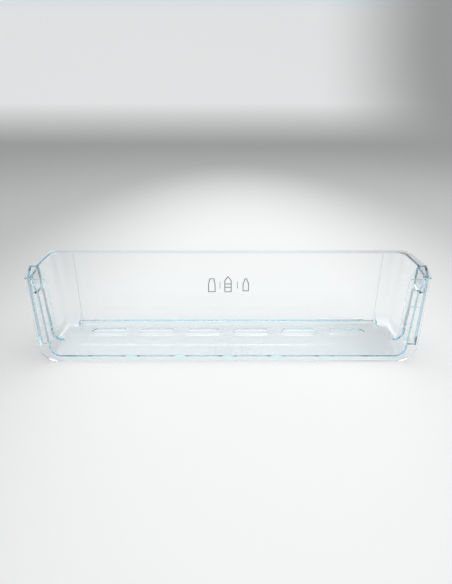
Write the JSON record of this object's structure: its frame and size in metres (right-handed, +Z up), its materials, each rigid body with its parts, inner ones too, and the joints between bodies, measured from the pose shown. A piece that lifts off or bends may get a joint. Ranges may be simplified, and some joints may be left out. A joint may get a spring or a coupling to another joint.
{
  "type": "fridge door shelf",
  "caption": "Clear moulded fridge door shelf: an open-backed tray with a tall front panel, a flat rim, sunk ovals in its floor and a hook pocket at each rear end.",
  "frame": {"origin": "centre of the bounding box in plan, on the surface that the rear lip and the front skirt stand on", "axes": "+X along the shelf, +Y from the open rear towards the front panel, +Z up"},
  "size_m": [0.506, 0.1006, 0.117],
  "materials": {
    "clear_polystyrene": "polished clear, pale blue tint",
    "panel_print": "thin screen print"
  },
  "bodies": {
    "root": {"door_shelf": "clear_polystyrene"}
  },
  "joints": []
}
